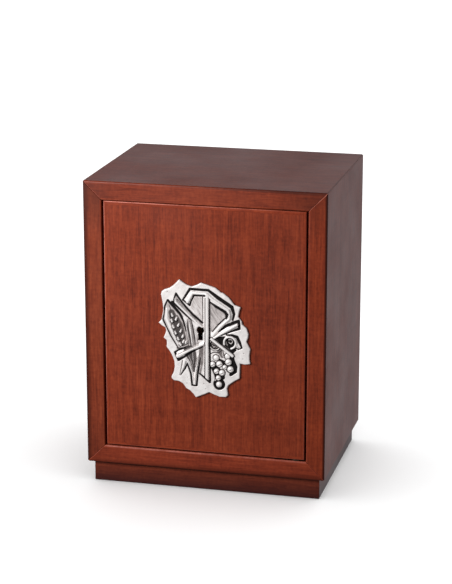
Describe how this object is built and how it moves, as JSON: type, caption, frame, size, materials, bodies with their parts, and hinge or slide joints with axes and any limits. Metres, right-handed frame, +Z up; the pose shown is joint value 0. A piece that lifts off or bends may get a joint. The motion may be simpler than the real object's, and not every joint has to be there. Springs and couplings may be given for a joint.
{
  "type": "tabernacle box",
  "caption": "Small mitred wood-veneered tabernacle cabinet on a recessed plinth, with a lockable flush door that carries a cast silver-toned medallion round its keyhole.",
  "frame": {"origin": "middle of the footprint on the standing surface: the centre of the overall box's underside, medallion included", "axes": "+Z up, the door and its medallion face -Y, +X is to the right of somebody facing the door"},
  "size_m": [0.25, 0.202, 0.32],
  "materials": {
    "stained_veneer": "red-brown stained fine-grained veneer under a satin lacquer",
    "dark_board": "darker stained board, thin matt lacquer",
    "raw_beech": "unfinished beech",
    "ivory_satin": "ivory satin cloth glued on thin padded board",
    "antique_silver": "silver-plated rough casting, blackened in its hollows and rubbed bright on top",
    "brass": "satin brass with light wear",
    "bright_steel": "bright zinc-plated steel",
    "satin_steel": "satin nickel-plated pressed steel"
  },
  "bodies": {
    "carcass": {"top_panel": "stained_veneer", "bottom_panel": "stained_veneer", "left_side_panel": "stained_veneer", "right_side_panel": "stained_veneer", "mitre_biscuits": "raw_beech", "back_panel": "dark_board", "back_panel_screws": "bright_steel", "plinth_front_rail": "stained_veneer", "plinth_rear_rail": "stained_veneer", "plinth_left_rail": "stained_veneer", "plinth_right_rail": "stained_veneer", "plinth_corner_blocks": "raw_beech", "plinth_screws": "bright_steel", "floor_lining": "ivory_satin", "ceiling_lining": "ivory_satin", "left_lining": "ivory_satin", "right_lining": "ivory_satin", "back_lining": "ivory_satin", "door_stop": "dark_board", "upper_pivot_plate": "brass", "lower_pivot_plate": "brass", "upper_pivot_pin": "bright_steel", "lower_pivot_pin": "bright_steel", "thrust_washer": "brass", "pivot_plate_screws": "bright_steel", "upper_strike_plate": "brass", "lower_strike_plate": "brass", "strike_screws": "bright_steel"},
    "door": {"door_panel": "stained_veneer", "door_left_lipping": "stained_veneer", "door_right_lipping": "stained_veneer", "door_top_lipping": "stained_veneer", "door_bottom_lipping": "stained_veneer", "upper_pivot_bush": "brass", "lower_pivot_bush": "brass", "bush_screws": "bright_steel", "medallion": "antique_silver", "medallion_studs": "bright_steel", "medallion_washers": "bright_steel", "medallion_nuts": "bright_steel", "lock_case": "satin_steel", "lock_cover": "satin_steel", "lock_screws": "brass", "rod_guides": "satin_steel", "guide_screws": "brass"},
    "key_rotor": {"key_rotor": "brass"},
    "upper_rod": {"upper_rod": "bright_steel"},
    "lower_rod": {"lower_rod": "bright_steel"}
  },
  "joints": [
    {"name": "door_swing", "type": "hinge", "parent": "carcass", "child": "door", "pos_m": [0.095, -0.0885, 0.17], "axis": [0, 0, 1], "range_deg": [0, 110]},
    {"name": "key_turn", "type": "hinge", "parent": "door", "child": "key_rotor", "pos_m": [-0.003, -0.07, 0.173], "axis": [0, 1, 0], "range_deg": [0, 90]},
    {"name": "upper_rod_slide", "type": "slide", "parent": "door", "child": "upper_rod", "axis": [0, 0, 1], "range_m": [0, 0.01178]},
    {"name": "lower_rod_slide", "type": "slide", "parent": "door", "child": "lower_rod", "axis": [0, 0, -1], "range_m": [0, 0.0118]}
  ],
  "couplings": [
    {"joint": "key_turn", "follows": "upper_rod_slide", "rad_per_m": 133.33},
    {"joint": "lower_rod_slide", "follows": "upper_rod_slide", "ratio": 1}
  ]
}
